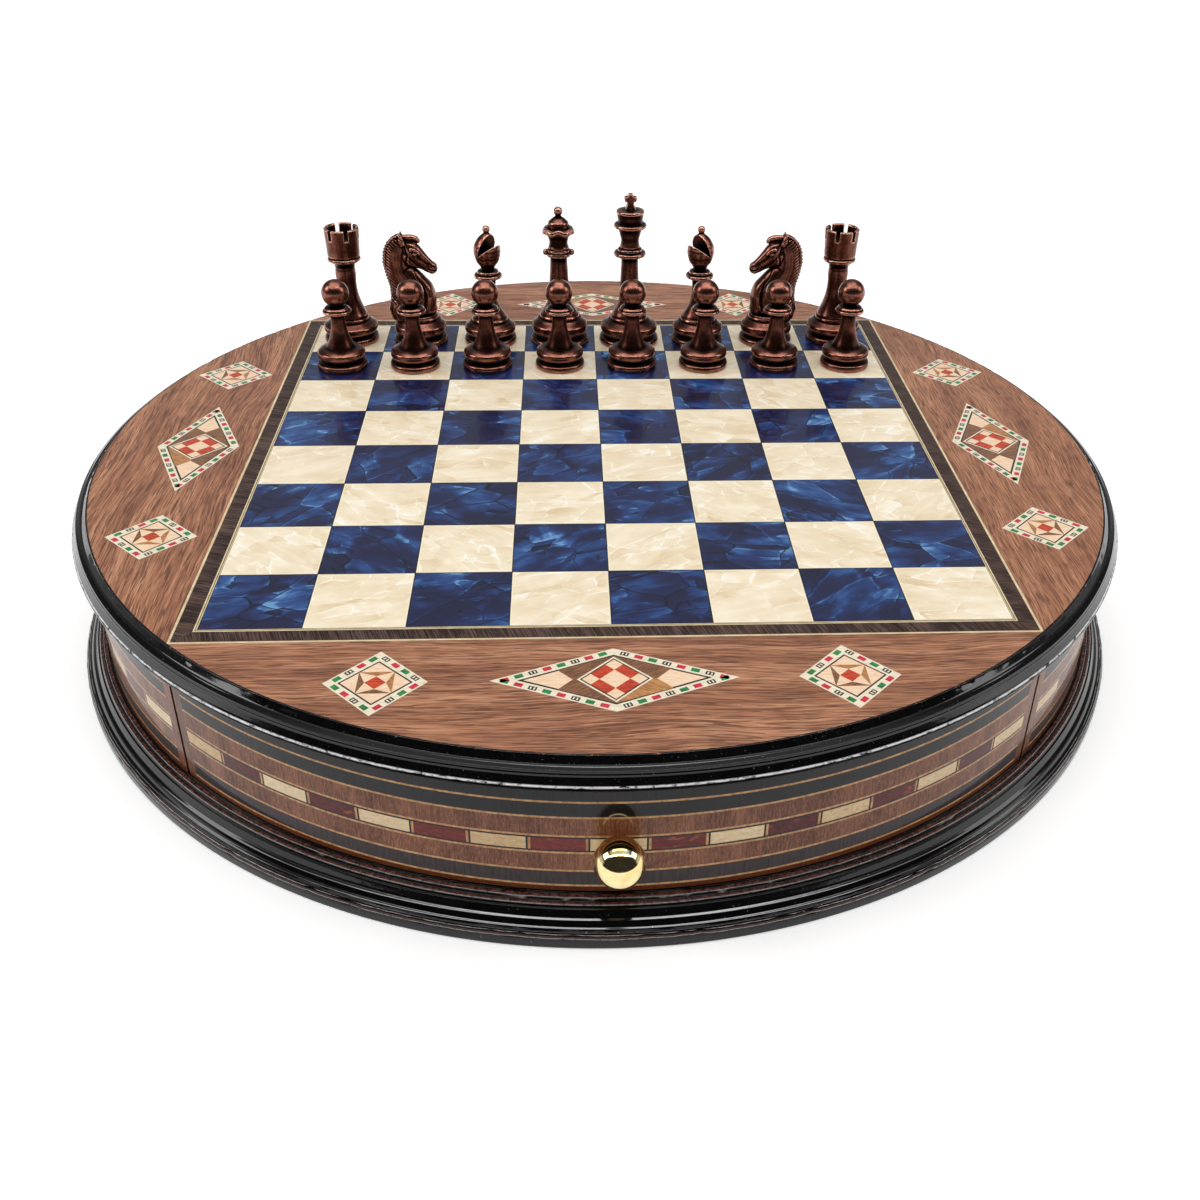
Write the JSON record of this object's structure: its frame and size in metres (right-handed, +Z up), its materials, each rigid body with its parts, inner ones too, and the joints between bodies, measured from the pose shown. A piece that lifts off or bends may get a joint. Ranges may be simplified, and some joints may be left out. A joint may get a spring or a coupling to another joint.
{
  "type": "round chess box with drawers",
  "caption": "Round drum-shaped chess box with an inlaid board on top, curved drawers front and back, and metal chessmen set up on it.",
  "frame": {"origin": "centre of the felt underside, on the drum's axis", "axes": "+Z up along the drum's axis, -Y out of the front drawer, +X to the right seen from the front"},
  "size_m": [0.3682, 0.3766, 0.1191],
  "materials": {
    "base_felt": "felt",
    "black_lacquer": "black gloss lacquer",
    "plywood": "sanded plywood",
    "beech": "satin beech",
    "steel": "zinc plated",
    "walnut": "gloss lacquered walnut veneer",
    "ebonised": "gloss lacquered ebonised veneer",
    "pale_line": "gloss lacquered pale line",
    "maple_tile": "gloss lacquered maple",
    "red_tile": "gloss lacquered red veneer",
    "wenge": "gloss lacquered wenge veneer",
    "ivory_line": "gloss lacquered pale line",
    "blue_pearl": "polished blue pearl",
    "cream_pearl": "polished cream pearl",
    "marquetry": "gloss lacquered inlay of several veneers",
    "red_felt": "felt",
    "brass": "polished",
    "antique_copper": "antiqued copper, polished on the edges"
  },
  "bodies": {
    "case": {"base_felt": "base_felt", "base_moulding": "black_lacquer", "base_board": "plywood", "drawer_runners": "beech", "centre_divider": "plywood", "bay_sides": "plywood", "carcass_screws": "steel", "wall_left": "walnut", "wall_right": "walnut", "wall_black_bands": "ebonised", "wall_stringing": "pale_line", "wall_cream_tiles": "maple_tile", "wall_red_tiles": "red_tile", "top_board": "plywood", "top_moulding": "black_lacquer", "walnut_veneers": "walnut", "border_strips": "wenge", "board_stringing": "ivory_line", "blue_squares": "blue_pearl", "cream_squares": "cream_pearl", "large_lozenges": "marquetry", "small_lozenges": "marquetry"},
    "front_drawer": {"front_drawer_face": "walnut", "front_drawer_box": "beech", "front_drawer_bottom": "beech", "front_drawer_lining": "red_felt", "front_drawer_dividers": "beech", "front_drawer_black_bands": "ebonised", "front_drawer_stringing": "pale_line", "front_drawer_cream_tiles": "maple_tile", "front_drawer_red_tiles": "red_tile", "front_drawer_knob": "brass", "front_drawer_knob_screw": "steel"},
    "back_drawer": {"back_drawer_face": "walnut", "back_drawer_box": "beech", "back_drawer_bottom": "beech", "back_drawer_lining": "red_felt", "back_drawer_dividers": "beech", "back_drawer_black_bands": "ebonised", "back_drawer_stringing": "pale_line", "back_drawer_cream_tiles": "maple_tile", "back_drawer_red_tiles": "red_tile", "back_drawer_knob": "brass", "back_drawer_knob_screw": "steel"},
    "king": {"king": "antique_copper"},
    "queen": {"queen": "antique_copper"},
    "bishop_left": {"bishop_left": "antique_copper"},
    "bishop_right": {"bishop_right": "antique_copper"},
    "knight_left": {"knight_left": "antique_copper"},
    "knight_right": {"knight_right": "antique_copper"},
    "rook_left": {"rook_left": "antique_copper"},
    "rook_right": {"rook_right": "antique_copper"},
    "pawn_1": {"pawn_1": "antique_copper"},
    "pawn_2": {"pawn_2": "antique_copper"},
    "pawn_3": {"pawn_3": "antique_copper"},
    "pawn_4": {"pawn_4": "antique_copper"},
    "pawn_5": {"pawn_5": "antique_copper"},
    "pawn_6": {"pawn_6": "antique_copper"},
    "pawn_7": {"pawn_7": "antique_copper"},
    "pawn_8": {"pawn_8": "antique_copper"}
  },
  "joints": [
    {"name": "front_drawer_slide", "type": "slide", "parent": "case", "child": "front_drawer", "axis": [0, -1, 0], "range_m": [0, 0.095]},
    {"name": "back_drawer_slide", "type": "slide", "parent": "case", "child": "back_drawer", "axis": [0, 1, 0], "range_m": [0, 0.095]},
    {"name": "king_lift", "type": "slide", "parent": "case", "child": "king", "axis": [0, 0, 1], "range_m": [0, 0.1]},
    {"name": "queen_lift", "type": "slide", "parent": "case", "child": "queen", "axis": [0, 0, 1], "range_m": [0, 0.1]},
    {"name": "bishop_left_lift", "type": "slide", "parent": "case", "child": "bishop_left", "axis": [0, 0, 1], "range_m": [0, 0.1]},
    {"name": "bishop_right_lift", "type": "slide", "parent": "case", "child": "bishop_right", "axis": [0, 0, 1], "range_m": [0, 0.1]},
    {"name": "knight_left_lift", "type": "slide", "parent": "case", "child": "knight_left", "axis": [0, 0, 1], "range_m": [0, 0.1]},
    {"name": "knight_right_lift", "type": "slide", "parent": "case", "child": "knight_right", "axis": [0, 0, 1], "range_m": [0, 0.1]},
    {"name": "rook_left_lift", "type": "slide", "parent": "case", "child": "rook_left", "axis": [0, 0, 1], "range_m": [0, 0.1]},
    {"name": "rook_right_lift", "type": "slide", "parent": "case", "child": "rook_right", "axis": [0, 0, 1], "range_m": [0, 0.1]},
    {"name": "pawn_1_lift", "type": "slide", "parent": "case", "child": "pawn_1", "axis": [0, 0, 1], "range_m": [0, 0.1]},
    {"name": "pawn_2_lift", "type": "slide", "parent": "case", "child": "pawn_2", "axis": [0, 0, 1], "range_m": [0, 0.1]},
    {"name": "pawn_3_lift", "type": "slide", "parent": "case", "child": "pawn_3", "axis": [0, 0, 1], "range_m": [0, 0.1]},
    {"name": "pawn_4_lift", "type": "slide", "parent": "case", "child": "pawn_4", "axis": [0, 0, 1], "range_m": [0, 0.1]},
    {"name": "pawn_5_lift", "type": "slide", "parent": "case", "child": "pawn_5", "axis": [0, 0, 1], "range_m": [0, 0.1]},
    {"name": "pawn_6_lift", "type": "slide", "parent": "case", "child": "pawn_6", "axis": [0, 0, 1], "range_m": [0, 0.1]},
    {"name": "pawn_7_lift", "type": "slide", "parent": "case", "child": "pawn_7", "axis": [0, 0, 1], "range_m": [0, 0.1]},
    {"name": "pawn_8_lift", "type": "slide", "parent": "case", "child": "pawn_8", "axis": [0, 0, 1], "range_m": [0, 0.1]}
  ]
}
